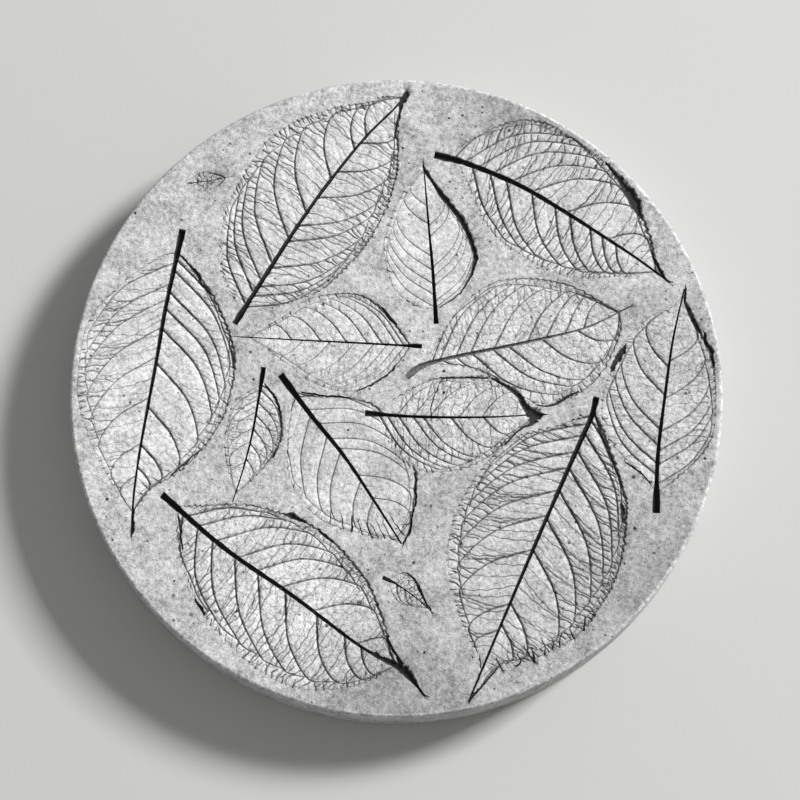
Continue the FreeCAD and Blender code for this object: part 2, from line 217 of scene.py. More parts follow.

# %% [markdown]
# ## Lifted edges
# A leaf never lies quite flat in the mould. Where an edge or a tip stood up, the concrete closed behind it and left a
# broad deep gap, which the finish darkens with painted shade. The table lists those gaps as lines of places and
# half-widths, in millimetres.

# %% Lifted edges
LIFTED_EDGES = (
    ((6.5, 190.5, 2.6), (5, 188, 2.9), (3.5, 185.5, 2.4), (2.5, 181, 1.3), (2, 176, 0.8), (0, 170, 0.7),
     (-1, 161, 0.6)),
    ((17, 143, 0.8), (18, 139, 1.1), (23, 132, 1.2), (28, 124, 1.8), (38, 111, 2.1), (45, 98, 2), (49, 85, 1.8),
     (48, 78, 1.4), (46, 71, 0.7), (39, 60, 0.45), (33, 55, 0.4), (27, 51, 0.35)),
    ((131, 145, 0.5), (138, 136, 1.7), (144, 127, 3), (148, 120, 3.3), (150, 114, 2.2), (153, 108, 0.7)),
    ((158, 88, 0.5), (160, 82, 0.8), (162, 78, 1.4), (165, 72, 1.4), (168, 68, 0.6)),
    ((59, 6, 0.9), (68, 1, 1.2), (75, -5, 1.5), (77, -9, 2.1), (80, -13, 2.7), (83, -16, 4.2), (86, -17, 3.6),
     (90, -16, 0.8)),
    ((84, -19, 2.8), (81, -23, 1.2), (75, -26, 0.7), (66, -35, 0.6)),
    ((28, 6.3, 0.35), (22, -8, 0.4), (21, -17, 0.35)),
    ((28, 6.3, 0.5), (42, 6.6, 0.5), (56, 6.4, 0.6)),
    ((-20, -159, 0.9), (-8, -165.5, 1.6), (0, -169, 2.7), (5, -172.5, 3.7), (8.5, -176.5, 2.6), (13, -182, 1.2),
     (16, -186.5, 0.7)),
    ((3, -168, 1.3), (-2, -160, 1), (-6, -152, 0.8)),
    ((-67, -78, 0.8), (-64, -79, 1.7), (-59, -81, 1.5), (-55, -83, 0.6)),
    ((-47, -88, 0.6), (-43, -91, 1.3), (-38, -95, 0.7)),
    ((-132, -79, 0.6), (-131, -85, 0.8), (-130, -92, 0.7), (-129, -99, 0.5)),
    ((-121, -130, 0.5), (-118, -134, 0.9), (-115, -139, 0.7)),
    ((11, -53, 0.7), (12, -58, 0.9), (11, -63, 0.9), (12, -68, 0.7), (9, -82, 0.7), (8, -88, 1), (4, -96, 0.6)),
    ((-58, -2.5, 0.5), (-44, -4.5, 0.7), (-29, -6, 0.5)),
    ((-40, -76, 0.25), (-40, -83.5, 0.35)),
    ((-33, -80, 0.3), (-32, -87, 0.4)),
    ((-27, -79, 0.6), (-27, -88, 0.6)),
    ((-23, -83, 0.3), (-20.5, -90.5, 0.4)),
    ((-18.5, -83, 0.35), (-15, -92, 0.5)),
    ((-14, -86, 0.25), (-11, -92.5, 0.35)),
    ((-11, -84, 0.3), (-7, -93, 0.4)),
    ((-8, -83, 0.25), (-3, -93.5, 0.4)),
    ((-3, -80, 0.3), (3.5, -90, 0.5)),
    ((43, -190.5, 0.9), (45, -188, 0.8), (50, -182.5, 0.7), (55, -177, 0.5), (60, -171, 0.5)),
    ((60, -166, 0.3), (63, -172, 0.5)),
    ((72, -162, 0.3), (74, -167, 0.45), (72, -169.5, 0.6)),
    ((76, -158, 0.3), (79, -162.5, 0.5), (82, -167, 0.8)),
    ((81, -158.5, 0.35), (82, -166.5, 0.7)),
    ((87, -154, 0.3), (89, -158.5, 0.45), (88.5, -162.5, 0.7)),
    ((91, -154, 0.3), (94, -155.5, 0.4), (93, -159, 0.6)),
    ((99, -150, 0.4), (97.5, -154, 0.4), (97.5, -157.5, 0.6)),
    ((104.5, -145, 0.4), (104, -148, 0.4), (106, -153, 0.7)),
    ((113, -140, 0.4), (112, -148.5, 0.7)),
    ((115.5, -137, 0.3), (118.5, -140, 0.6)),
    ((6, -114, 0.25), (11, -118, 0.4), (15, -126, 0.5), (18, -132, 0.5), (21, -137, 0.4)),
    ((86, -10.5, 0.4), (92, -11, 0.7), (98, -9.5, 1), (105, -5, 0.9), (111, -2, 0.5)),
    ((136, -72, 1), (137, -76, 1.5), (137, -82, 1)),
    ((121, -15, 0.6), (122, -19, 0.8), (124.3, -27, 0.9), (128.5, -39, 0.9), (133.6, -51.5, 0.8), (136.5, -61, 0.6)),
    ((179, 63, 0.6), (178, 56, 0.8), (180, 49, 1.1), (183, 43, 1.7), (186, 37, 1.5), (187, 35, 0.8)),
    ((190, 35, 0.9), (190, 29, 1.3), (193, 25, 1.5), (194, 19, 1.2), (195, 14, 0.7)),
    ((141, 27, 0.9), (138, 22, 2.2), (133, 14, 1.7), (132, 11, 0.8)),
    ((139, -46, 0.4), (145, -50, 0.7), (150, -54, 0.6), (154, -59, 0.5)),
    ((-9, 51, 0.4), (-6, 47, 1.3), (-3, 43, 1.1), (0, 40, 0.4)),
    ((-1, 14, 0.6), (-5, 9, 0.6), (-16, 2, 0.6), (-24, -2, 0.5)),
    ((-80, 2, 0.8), (-77, -2, 0.6), (-74, -6, 0.7), (-72, -11, 0.7), (-70, -24, 0.4)),
    ((-73, -38, 0.7), (-74, -40, 0.9), (-75, -43, 0.7)),
    ((-133, 84, 0.6), (-127, 77, 0.8), (-122, 71, 1.4), (-121, 67, 0.9), (-115, 60, 0.6)),
    ((-103, 30, 0.5), (-101, 21, 0.9), (-100, 13, 0.6)),
    ((-120, -39, 0.5), (-128, -46, 0.8), (-137, -54, 0.5)),
    ((-159, -76, 0.9), (-159, -89, 1)),
)
GAP_STEP, GAP_DEPTH = 1.0, (1.0, 2.2)  # of a gap's points, and its least and greatest depth
RAG_SIZE, RAG_STRAY, RAG_SWELL = 3.5, 0.5, 0.5  # length of its rags, how far they stray and swell


def lifted_edge(points):
    """A gap as a groove line: ragged, and the deeper the broader it is."""
    line = smooth_line(points, GAP_STEP)
    rag = np.array([noise.fractal((x / RAG_SIZE, y / RAG_SIZE, 2.0), 0.6, 2, 3) for x, y in line[:, :2]])
    half = line[:, 2] * np.clip(1 + RAG_SWELL * rag, 0.5, 1.5)
    ragged = line[:, :2] + RAG_STRAY * rag[:, None] * leftward(line)
    return np.column_stack([ragged, half, np.clip(0.8 + 0.5 * half, *GAP_DEPTH)])


lifted_edges = [lifted_edge(points) for points in LIFTED_EDGES]
print(len(lifted_edges), "lifted edges")

# %% [markdown]
# ## A leaf's own lines
# A leaf is easiest to draw in its own measure: how far along the midrib, and how far to its left. The class below
# turns that measure into places on the tread. It also knows the blade: how wide it is to each side, and its margins
# with their small teeth, which lean to the tip.

# %% Leaf drawing
LEFT, RIGHT = 1, -1
RIB_STEP, MARGIN_STEP = 0.5, 1.0
GROWN = 100.0  # a shorter leaf has a finer relief
TOOTH_PITCH, TOOTH_HEIGHT = (6.0, 3.7), (1.0, 2.4)  # of weakly and of strongly netted leaves
TOOTH_LEAN = 1.3  # above one, teeth lean to the tip
TOOTHLESS_END = 14.0  # from its ends, a margin gets its teeth over this length
RIM_MARGIN = 195.5  # no print comes nearer to the edge of the tread
DEEP_SIDE = np.array([0.93, 0.37])  # the leaves were pushed to this side, where the blades lie deeper
FACING = 0.25  # a side that faces the push more than this is deep


class Leaf:
    """One pressed leaf, drawn as lines in plan."""

    def __init__(self, name, midrib, left, right, stalk, bare_tip, rib, net, veins,
                 cells=0.3, bold=(1, 1), mesh=1, dirt_and_shade=1.0, edge=0.25):
        self.name, self.stalk, self.rib, self.dirt_and_shade, self.edge = name, stalk, rib, dirt_and_shade, edge
        self.cells, self.mesh = cells, mesh
        self.roots, self.bold, self.nets = ({LEFT: pair[0], RIGHT: pair[1]} for pair in (veins, bold, net))
        self.net, self.net_turn = max(net[:2]), math.radians(net[2])
        self.midrib = smooth_line(midrib, RIB_STEP)
        self.square = leftward(self.midrib)
        self.run = np.linspace(0, RIB_STEP * (len(self.midrib) - 1), len(self.midrib))
        self.length = self.run[-1]
        self.tip_start = self.length - bare_tip
        self.size = min(1.0, self.length / GROWN)
        self.margins = {LEFT: self.margin(left), RIGHT: self.margin(right)}
        self.widths = {side: self.measure(self.margins[side]) for side in (LEFT, RIGHT)}

    def place(self, along, off):
        """Places on the tread at these distances along the midrib and to its left."""
        at = [np.interp(along, self.run, column) for column in (*self.midrib.T, *self.square.T)]
        return np.column_stack([at[0] + off * at[2], at[1] + off * at[3]])

    def place_vein(self, side, vein):
        """A vein of one side as a line on the tread."""
        return self.place(vein[:, 0], side * vein[:, 1])

    def measure(self, line):
        """How far along the midrib each point of a line is, and how far off it."""
        near = np.argmin(((line[:, None] - self.midrib[None]) ** 2).sum(2), axis=1)
        return np.maximum.accumulate(self.run[near]), np.hypot(*(line - self.midrib[near]).T)

    def margin(self, points):
        """The smooth margin of one side, from the base of the blade to its tip."""
        ends = self.place(np.array([self.stalk, self.tip_start]), np.zeros(2))
        return smooth_line(np.vstack([ends[:1], points, ends[1:]]), MARGIN_STEP)

    def half_width(self, side, along):
        """How wide the blade is to one side of the midrib."""
        return np.interp(along, *self.widths[side], left=0, right=0)

    def is_deep(self, side):
        """Whether a side faces the push, so that its margin is pressed deep."""
        return side * (self.square.mean(0) @ DEEP_SIDE) > FACING

    def toothed(self, side):
        """The margin of one side with uneven teeth, and which of its points are their tips."""
        line = self.margins[side]
        run = np.linspace(0, len(line) - 1, len(line))
        phase = run / (blend(TOOTH_PITCH, self.net) * self.size ** 0.5) + 0.5 * np.sin(run / 9.3 + self.length)
        ends = np.clip(np.minimum(run, run[-1] - run) / TOOTHLESS_END, 0, 1)
        height = self.size * ends * blend(TOOTH_HEIGHT, self.net)
        height *= 0.75 + 0.35 * np.sin(run / 4.1 + self.length)
        teeth = height * ((phase % 1) ** TOOTH_LEAN - 0.5)
        line = line + (side * teeth)[:, None] * leftward(line)
        line = line * np.minimum(1, RIM_MARGIN / np.hypot(*line.T))[:, None]
        return line, np.flatnonzero((np.diff(np.floor(phase)) > 0) & (ends[1:] > 0.6))

    def outline(self):
        """The closed toothed outline of the blade."""
        return np.vstack([self.toothed(LEFT)[0], self.toothed(RIGHT)[0][-2:0:-1]])


leaves = [Leaf(name, **row) for name, row in LEAVES.items()]
print(f"longest leaf with its stalk: {max(leaf.length for leaf in leaves):.0f} mm")

# %% [markdown]
# ## Veins
# A side vein runs out from the midrib, turns short of the margin and follows it for a way. Weaker veins lie between,
# a thin ladder runs along the deep margins, and short veins end in the teeth. The finest are the cross veins, which
# bridge the side veins: each walks outwards in steps of a millimetre until it meets the vein ahead. Seeded random
# numbers scatter them, so the net looks grown but is the same every time.

# %% Side veins, ladders and tooth veins
VEIN_LEAN, VEIN_BEND = 1.0, 0.1  # how far forward it meets the margin, and how much it bows
VEIN_TURN = (0.93, 0.81)  # share of the half-width where it turns, at the base and later
VEIN_RUN = 18.0  # how far it follows the margin
LINE_STEP = 2.0
BETWEEN_GAP, BETWEEN_SHARE = 13.0, (0.25, 0.5)  # where a weaker vein fits between, and how much of it
LADDER_GAP, LADDER_ENDS = 3.3, (12, 10)  # from the margin, and from the ends of the blade
NARROW = 7.0  # where a side is no wider, it has only side veins
BOLD_REACH, WEAK_REACH = (0.9, 1.7), (0.35, 1.2)  # range of the tooth veins' lengths
TOOTH_SHARE = 0.82  # of the teeth on weak margins that have a vein
random = np.random.default_rng(11)


def side_vein(leaf, side, root):
    """A side vein in the leaf's own measure, from its root to its end along the margin."""
    along = np.linspace(root, leaf.tip_start, 200)
    width = leaf.half_width(side, along)
    end = np.argmax(along - root >= VEIN_LEAN * width)
    reach = np.interp(root - leaf.stalk, (0, 0.3 * leaf.length), VEIN_TURN)
    start, turn = np.array([root, 0.0]), np.array([along[end], reach * width[end]])
    chord = turn - start
    middle = start + 0.55 * chord + VEIN_BEND * np.array([-chord[1], chord[0]])
    stop = min(along[end] + VEIN_RUN * leaf.size, leaf.tip_start - 1)
    follow = np.linspace(along[end], stop, 3)[1:]
    ends = np.column_stack([follow, (reach + 0.02, reach - 0.02) * leaf.half_width(side, follow)])
    return smooth_line(np.vstack([start, middle, turn, ends]), LINE_STEP)


def between_veins(leaf, side):
    """Weaker veins half-way between the side veins; each fades out on the way."""
    roots = leaf.roots[side]
    middles = [(a + b) / 2 + random.normal(0, 1) for a, b in zip(roots, roots[1:]) if b - a > BETWEEN_GAP]
    lines = [side_vein(leaf, side, root) for root in middles]
    return [line[:max(4, int(len(line) * random.uniform(*BETWEEN_SHARE)))] for line in lines]


def ladder(leaf, side):
    """The thin vein inside a bold, deep margin; the veins of the teeth are its rungs."""
    if leaf.bold[side] < 1 or not leaf.is_deep(side):
        return []
    along = np.arange(leaf.stalk + LADDER_ENDS[0], leaf.tip_start - LADDER_ENDS[1], LINE_STEP)
    off = leaf.half_width(side, along) - LADDER_GAP - 0.5 * np.sin(along / 2.9)
    return [np.column_stack([along, off])]


def tooth_veins(leaf, side):
    """Short veins that end in the tips of the teeth."""
    line, tips = leaf.toothed(side)
    bold = leaf.bold[side] == 1
    always = bold or leaf.is_deep(side)
    lines = []
    for along, off in zip(*leaf.measure(line[tips])):
        reach = random.uniform(*(BOLD_REACH if bold else WEAK_REACH))
        inner = np.array([random.normal(-1.6, 0.9), -3.3]) * leaf.size * reach
        if off > NARROW * leaf.size and (always or random.random() < TOOTH_SHARE):
            tip = np.array([along - 0.3, off - 0.5])
            lines.append(np.array([tip, tip + inner * 0.5 + random.normal(0, 0.25, 2), tip + inner]))
    return lines


side_veins = {(leaf.name, side): [side_vein(leaf, side, root) for root in leaf.roots[side]]
              for leaf in leaves for side in (LEFT, RIGHT)}
print("side veins:", sum(map(len, side_veins.values())))

# %% Cross veins
CROSS_SPACING, RIB_SPACING = 4.2, 1.6  # in a strong net, and how much wider along the midrib
CROSS_BEND = 0.5  # it turns on its way out
CROSS_WAVE, WAVE_TURN = 0.3, 0.7  # how far it sways, and how fast
CROSS_CLEAR, MARGIN_CLEAR = 0.6, 1.2  # it stops short of the next vein and of the margin
LONGEST_CROSS = 60
FAINT_NET = 0.2  # a weaker net isn't modelled


def cross_vein(leaf, side, start, fence):
    """A thin vein from a start towards the margin, until it meets the fence, the next vein out."""
    wave, lean = random.uniform(0, 6.3), leaf.net_turn + random.normal(0, 0.12)
    here = start + CROSS_CLEAR * np.array([math.cos(lean), math.sin(lean)])
    line = [here]
    for step in range(LONGEST_CROSS):
        width = max(float(leaf.half_width(side, here[0])), 1)
        turn = lean + CROSS_BEND * (here[1] / width - 0.6) + CROSS_WAVE * math.sin(wave + WAVE_TURN * step)
        here = here + np.array([math.cos(turn), math.sin(turn)])
        edge = width - MARGIN_CLEAR
        if fence is not None and here[0] <= fence[-1, 0]:
            edge = min(edge, float(np.interp(here[0], fence[:, 0], fence[:, 1])))
        if here[1] >= edge - CROSS_CLEAR:
            break
        line.append(here)
    return np.array(line)


def cross_veins(leaf, side):
    """The cross veins of one side, from each side vein and from the midrib beyond it."""
    if leaf.nets[side] < FAINT_NET:
        return []
    veins = side_veins[leaf.name, side]
    spacing = CROSS_SPACING * leaf.size ** 0.5 / (0.45 + 0.55 * leaf.nets[side])
    lines = []
    for number, vein in enumerate(veins):
        outer = veins[number - 1] if number else None
        starts = spaced(vein, spacing)[1:]
        lines += [cross_vein(leaf, side, start + random.normal(0, 0.6, 2), outer) for start in starts]
        last = veins[number + 1][0, 0] if number + 1 < len(veins) else leaf.tip_start - 4
        for along in np.arange(vein[0, 0] + spacing, last - 1, RIB_SPACING * spacing):
            lines.append(cross_vein(leaf, side, np.array([along, 0.8]), vein))
    return [line for line in lines if len(line) > 2 and leaf.half_width(side, line[0][0]) > NARROW * leaf.size]

# %% [markdown]
# ## Grooves
# A groove is a line with a half-width and a depth at each point. Midribs and stalks are deep slots, side veins are
# sharp V grooves, and cross veins are a few tenths of a millimetre deep, bolder near the margin. The leaves were
# pressed in with a push towards one side, so veins that lie across the push are bold and those along it are thin. The
# same push opened a crack along the margins that face it.

# %% Groove lines
MIDRIB_DEPTH = (3.0, 1.2)  # at the stalk and at the tip
VEIN_HALF, VEIN_DEPTH = (0.86, 1.0), (1.1, 1.6)  # along the push and across it
VEIN_FADE = (1, 0.35)  # from root to end
BETWEEN_HALF, BETWEEN_DEPTH = (0.42, 0.3), (0.28, 0.1)
LADDER_HALF, LADDER_DEPTH = (0.45, 0.45), (0.38, 0.38)
TOOTH_HALF, TOOTH_DEPTH = (0.7, 0.35), (1.0, 0.35)  # at the tooth's tip and inside
CROSS_HALF, CROSS_DEPTH, CROSS_FADE = 0.6, 0.38, 0.8
BRANCH_START, BRANCH_SPAN = 0.4, 0.3  # shares of the half-width: farther out, cross veins are bolder
BRANCH_WIDENING = 0.25
UNEVEN = (0.35, 1.0)  # share of its depth to which a fine vein is pressed
RIB_GROOVE_STEP, VEIN_STEP, TOOTH_STEP, CROSS_STEP = 1.8, 2.3, 2.0, 2.7


def groove(line, halves, depths, step):
    """The line with its half-width and depth beside each point."""
    share = np.linspace(0, 1, len(line))
    return spaced(np.column_stack([line, blend(halves, share), blend(depths, share)]), step)


def midrib_groove(leaf):
    """The slot of stalk and midrib: it tapers in two stages, and its walls are ragged."""
    rib = groove(leaf.midrib, (0, 0), MIDRIB_DEPTH, RIB_GROOVE_STEP)
    stages = (0, 0.6 * leaf.stalk, leaf.stalk + 6, leaf.length)
    width = np.interp(np.linspace(0, leaf.length, len(rib)), stages, (leaf.rib[0], *leaf.rib))
    rag = np.array([noise.noise((x / 4, y / 4, 5.0)) for x, y in rib[:, :2]])
    rib[:, 2] = width / 2 * (1 + 0.2 * rag)
    return rib


def vein_groove(line, strength):
    """A side vein's groove, bold where it lies across the push, and fading to its end."""
    bold = np.abs(leftward(line) @ DEEP_SIDE)
    fade = strength * np.linspace(*VEIN_FADE, len(line))
    half, depth = fade ** 0.5 * blend(VEIN_HALF, bold), fade * blend(VEIN_DEPTH, bold)
    return spaced(np.column_stack([line, half, depth]), VEIN_STEP)


def cross_groove(leaf, side, vein):
    """A cross vein's groove, bolder if it starts near the margin."""
    outward = vein[0, 1] / max(leaf.half_width(side, vein[0, 0]), 1)
    branch = np.clip((outward - BRANCH_START) / BRANCH_SPAN, 0, 1)
    half = CROSS_HALF * (1 + BRANCH_WIDENING * branch)
    depth = CROSS_DEPTH * leaf.nets[side] * (random.uniform(*UNEVEN) + branch)
    return groove(leaf.place_vein(side, vein), (half, CROSS_FADE * half), (depth, CROSS_FADE * depth), CROSS_STEP)


def leaf_grooves(leaf):
    """The grooves of a leaf: its midrib's, those of the side veins and those of the cross veins."""
    sides, crossing = [], []
    for side in (LEFT, RIGHT):
        for vein in side_veins[leaf.name, side]:
            sides.append(vein_groove(leaf.place_vein(side, vein), leaf.bold[side]))
        for vein in between_veins(leaf, side):
            sides.append(groove(leaf.place_vein(side, vein), BETWEEN_HALF, BETWEEN_DEPTH, VEIN_STEP))
        for vein in ladder(leaf, side):
            sides.append(groove(leaf.place_vein(side, vein), LADDER_HALF, LADDER_DEPTH, VEIN_STEP))
        for vein in tooth_veins(leaf, side):
            depths = np.array(TOOTH_DEPTH) * random.uniform(*UNEVEN)
            sides.append(groove(leaf.place_vein(side, vein), TOOTH_HALF, depths, TOOTH_STEP))
        crossing += [cross_groove(leaf, side, vein) for vein in cross_veins(leaf, side)]
    return midrib_groove(leaf), sides, crossing


grooves = {leaf.name: leaf_grooves(leaf) for leaf in leaves}
print("cross veins:", sum(len(crossing) for _, _, crossing in grooves.values()))

# %% Margin cracks
MARGIN_HALF, MARGIN_DEPTH = (0.35, 0.95), 1.4  # half-widths of the shallow and the deep side, and depth of the deep
EVEN_REACH, EVEN_SPREAD = 6, 4.0  # the push is evened out over so many points
PATCH = 9.0  # length of weaker and stronger stretches
RIM_FADE = 1.5  # near the tread's edge the crack runs out


def margin_groove(outline, edge):
    """The crack along a blade's outline, wide and deep on the deep side."""
    ring = np.vstack([outline[-1:], outline, outline[:1]])
    facing = np.clip(leftward(ring)[1:-1] @ DEEP_SIDE + 0.1, 0, 1) ** 1.5
    near = np.exp(-(np.arange(-EVEN_REACH, EVEN_REACH + 1) / EVEN_SPREAD) ** 2)
    facing = np.convolve(np.r_[facing[-EVEN_REACH:], facing, facing[:EVEN_REACH]], near / near.sum(), "valid")
    patchy = np.array([0.8 + 0.7 * noise.noise((x / PATCH, y / PATCH, 7.0)) for x, y in outline])
    patchy *= np.clip((RIM_MARGIN - np.hypot(*outline.T)) / RIM_FADE, 0, 1)
    open_share = facing * patchy
    return np.column_stack([outline, blend(MARGIN_HALF, open_share), blend((edge, MARGIN_DEPTH), open_share), facing])


outlines = {leaf.name: leaf.outline() for leaf in leaves}
cracks = {leaf.name: margin_groove(outlines[leaf.name], leaf.edge) for leaf in leaves}
print("margin cracks:", len(cracks))

# %% [markdown]
# ## The tread's mesh
# The relief is finer than any even grid could hold, so the mesh follows the drawing: each groove brings the lines of
# its two lips and its floor, each margin the lip and the foot of its wall. A constrained Delaunay fill joins
# all those lines into triangles inside the tread's circle. No modelling operator makes such a net.

# %% Net of lines
TREAD_RADIUS, EDGE_ROUND = 200.0, 2.5
RIM_POINTS = 288
VEE_LINES, GAP_LINES = (-1, 0, 1), (-1, -0.6, 0.6, 1)  # lips, walls and floors, as shares of the half-width
RIB_LINES = (-1, -0.8, -0.4, 0.4, 0.8, 1)
CUT_END, CUT_POINTS = 0.4, 7  # a stalk ends in a steep square wall

net_points, net_edges = [], []


def draw(line, closed=False):
    """Adds a line to the net."""
    first = sum(map(len, net_points))
    net_points.append(line[:, :2])
    here = np.arange(first, first + len(line))
    net_edges.extend(zip(here[:-1], here[1:]))
    if closed:
        net_edges.append((here[-1], here[0]))


def draw_groove(line, shares, closed=False):
    """Adds the lines of a groove: shares of its half-width to each side."""
    square = leftward(np.vstack([line[-1:], line, line[:1]]))[1:-1] if closed else leftward(line)
    for share in shares:
        draw(line[:, :2] + share * line[:, 2:3] * square, closed)


turns = np.linspace(0, 2 * math.pi, RIM_POINTS, endpoint=False)
flat_radius = TREAD_RADIUS - EDGE_ROUND
draw(flat_radius * np.column_stack([np.cos(turns), np.sin(turns)]), closed=True)
for leaf in leaves:
    rib, sides, crossing = grooves[leaf.name]
    draw_groove(cracks[leaf.name], VEE_LINES, closed=True)
    draw_groove(rib, RIB_LINES)
    across = np.linspace(-1, 1, CUT_POINTS)[:, None] * rib[0, 2] * leftward(rib)[0]
    run = rib[1, :2] - rib[0, :2]
    for back in (0, CUT_END):
        draw(rib[0, :2] + across - back * run / np.hypot(*run))
    for line in sides + crossing:
        draw_groove(line, VEE_LINES)
for line in lifted_edges:
    draw_groove(line, GAP_LINES)

drawn = np.vstack(net_points)
print(f"drawn points: {len(drawn)}")

# %% Fill between the lines
FILL_STEP, FILL_CLEAR = 3.6, 1.3  # of the points between, and how far they keep off the lines
FILL_JITTER, FILL_RIM = 0.3, 1.5
MERGE = 0.12  # closer points become one

taken = set(map(tuple, np.floor(drawn / FILL_CLEAR).astype(int)))
rows = np.arange(-flat_radius, flat_radius, FILL_STEP * math.sqrt(3) / 2)
fill = np.array([(x + (number % 2) * FILL_STEP / 2, y) for number, y in enumerate(rows)
                 for x in np.arange(-flat_radius, flat_radius, FILL_STEP)])
fill += random.uniform(-FILL_JITTER, FILL_JITTER, fill.shape)
spots = np.floor(fill / FILL_CLEAR).astype(int)
free = np.array([not any((cx + dx, cy + dy) in taken for dx in (-1, 0, 1) for dy in (-1, 0, 1))
                 for cx, cy in spots])
fill = fill[free & (np.hypot(*fill.T) < flat_radius - FILL_RIM)]
points = [Vector(point) for point in np.vstack([drawn, fill])]
verts, _, faces, *_ = delaunay_2d_cdt(points, net_edges, [], 0, MERGE)
plan = np.array(verts)
print(f"{len(plan)} points and {len(faces)} triangles on the tread")

# %% [markdown]
# ## Sinking the prints
# Each point of the tread now gets its depth. Leaf by leaf, in the order of laying, the blade sinks behind a short
# wall, dips a little towards each vein, and carries its grooves. The blades were pressed unevenly: they lie deeper on
# their east side, which is why those margins throw the broad shadows. The loop also marks the blades for the finish,
# and the grooves' darkening by dirt and painted shade.

# %% Distance to lines
TILE, REACH = 8.0, 8.0  # the search goes tile by tile, and no farther than the reach


def nearest(points, lines):
    """For each point: its distance to the nearest line, and that line's further columns there."""
    a = np.vstack([line[:-1] for line in lines])
    b = np.vstack([line[1:] for line in lines])
    step = b[:, :2] - a[:, :2]
    size = np.maximum((step ** 2).sum(1), 1e-12)
    distance, values = np.full(len(points), REACH), np.ones((len(points), a.shape[1] - 2))
    tiles, which = np.unique(np.floor(points / TILE), axis=0, return_inverse=True)
    for number, tile in enumerate(tiles):
        off = np.hypot(*((a[:, :2] + b[:, :2]) / 2 - (tile + 0.5) * TILE).T)
        close = np.flatnonzero(off < TILE * 0.71 + REACH + 1)
        if len(close) == 0:
            continue
        mine = np.flatnonzero(which.ravel() == number)
        start, run = a[close], step[close]
        across = points[mine][:, None] - start[None, :, :2]
        share = np.clip((across * run).sum(2) / size[close], 0, 1)
        gap = np.hypot(*np.moveaxis(across - share[:, :, None] * run, 2, 0))
        best = gap.argmin(1)
        each = np.arange(len(mine))
        distance[mine] = np.minimum(gap[each, best], REACH)
        values[mine] = blend((start[best, 2:], b[close][best, 2:]), share[each, best][:, None])
    return distance, values


def inside(points, loop):
    """Which points lie inside the closed loop."""
    odd = np.zeros(len(points), bool)
    for (x0, y0), (x1, y1) in zip(loop, np.roll(loop, -1, axis=0)):
        if y0 != y1:
            crosses = (points[:, 1] < y0) != (points[:, 1] < y1)
            odd ^= crosses & (points[:, 0] < x0 + (points[:, 1] - y0) * (x1 - x0) / (y1 - y0))
    return odd


def groove_depth(points, lines, floor=1.0):
    """Depth of the grooves at each point, distance to the nearest, and its columns; a floor above one is flat."""
    if not lines:
        return np.zeros(len(points)), np.full(len(points), REACH), None
    distance, values = nearest(points, lines)
    return np.clip(floor * (1 - (distance / values[:, 0]) ** 2), 0, 1) * values[:, 1], distance, values

# %% Depth of the tread
FIELD_DEPTH, FIELD_SWELL, SWELL_SIZE = 0.18, 0.12, 26  # the plain tread swells gently
BLADE_DEPTH, LEAST_DEPTH = 0.4, 0.15  # of a grown blade, and of any
EAST_PRESS, SLANT_REACH = 0.55, 45  # share of slant, and how far it grows
VALLEY_DEPTH, VALLEY_REACH = 0.16, 2.4  # the blade dips towards its veins
WALL = (3.5, 0.7)  # breadth of the blade's wall on the shallow and the deep side
RIB_FLOOR, GAP_FLOOR = 1.7, 1.9  # above one: flat bottoms
RIB_SINK, CRACK_SINK = 0.15, 0.2  # they start this deep
RIB_FULL = 0.6  # a midrib this deep is as dark as it gets, with dirt and painted shade
SIDE_DIRT_AND_SHADE, CROSS_DIRT_AND_SHADE, CRACK_DIRT_AND_SHADE, GAP_PAINTED_SHADE = (0.5, 0.8), (0.25, 0.85), (0.6, 0.8), (0.7, 0.97)  # full depth, and the darkening there: dirt and painted shade; in the gaps, painted shade alone
BOX_CLEAR = 4.0  # round a leaf's box

depth = np.array([FIELD_DEPTH + FIELD_SWELL * noise.fractal((x / SWELL_SIZE, y / SWELL_SIZE, 0.5), 0.9, 2, 3)
                  for x, y in plan])
groove_dirt_and_shade, blade_mark, cell_mark, mesh_mark = np.zeros((4, len(plan)))


def rib_slot(rib, here):
    """Depth of a midrib's slot, with a square wall at the stalk's cut end, and the distance to it."""
    slot, gap, _ = groove_depth(here, [rib], RIB_FLOOR)
    run = rib[1, :2] - rib[0, :2]
    return slot * np.clip(1 - (rib[0, :2] - here) @ run / np.hypot(*run) / CUT_END, 0, 1), gap


def dirt_and_shade_in(groove_depths, full, most):
    """The darkening of a groove by dirt and painted shade: the most where it has its full depth."""
    return np.clip(groove_depths / full, 0, 1) * most


